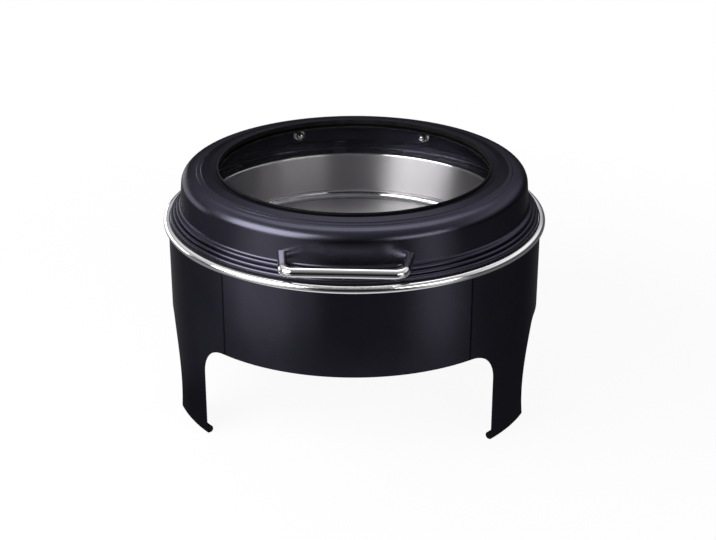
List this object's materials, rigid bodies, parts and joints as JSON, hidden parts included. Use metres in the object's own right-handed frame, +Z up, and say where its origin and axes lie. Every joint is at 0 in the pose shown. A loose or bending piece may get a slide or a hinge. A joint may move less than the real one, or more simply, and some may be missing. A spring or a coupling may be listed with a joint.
{
  "type": "chafing dish",
  "caption": "Round chafing dish: black sheet stand on legs, water pan with a bright rim, food pan, and a damped hinged lid with a round window and a bar handle.",
  "frame": {"origin": "on the floor under the middle of the object, which is the axis of the pans", "axes": "+Z up, handle towards -Y, hinge at +Y, +X on the right of someone who faces the handle"},
  "size_m": [0.4199, 0.4552, 0.2662],
  "materials": {
    "black_coat": "satin black powder coat",
    "pan_steel": "fine satin",
    "bright_steel": "polished",
    "bolt_steel": "plain",
    "rubber": "matt",
    "bush_plastic": "matt",
    "window_glass": "clear toughened glass"
  },
  "bodies": {
    "stand": {"front_skirt": "black_coat", "rear_skirt": "black_coat", "leg_panel_left": "black_coat", "leg_panel_right": "black_coat", "strap_front_left": "black_coat", "strap_front_right": "black_coat", "strap_rear_left": "black_coat", "strap_rear_right": "black_coat", "support_ring": "black_coat", "foot_front_left": "rubber", "foot_front_right": "rubber", "foot_rear_left": "rubber", "foot_rear_right": "rubber"},
    "vessel": {"water_pan": "pan_steel", "rim": "bright_steel", "rim_seal": "rubber", "food_pan": "pan_steel", "hinge_bracket": "black_coat", "bracket_bolts": "bolt_steel", "damper_left": "bolt_steel", "damper_right": "bolt_steel", "bush_left": "bush_plastic", "bush_right": "bush_plastic"},
    "lid": {"lid_shell": "black_coat", "window_seal": "rubber", "window_glass": "window_glass", "glass_clamp": "black_coat", "clamp_nuts": "bolt_steel", "handle": "bright_steel", "handle_screw_left": "bolt_steel", "handle_screw_right": "bolt_steel", "hinge_pin": "bolt_steel", "pin_cap_left": "black_coat", "pin_cap_right": "black_coat", "hinge_arm_left": "black_coat", "hinge_arm_right": "black_coat", "hinge_bolt_left": "bright_steel", "hinge_bolt_right": "bright_steel"}
  },
  "joints": [
    {"name": "vessel_lift", "type": "slide", "parent": "stand", "child": "vessel", "axis": [0, 0, 1], "range_m": [0, 0.11]},
    {"name": "lid_hinge", "type": "hinge", "parent": "vessel", "child": "lid", "pos_m": [0, 0.2196, 0.216], "axis": [-1, 0, 0], "range_deg": [0, 90]}
  ]
}
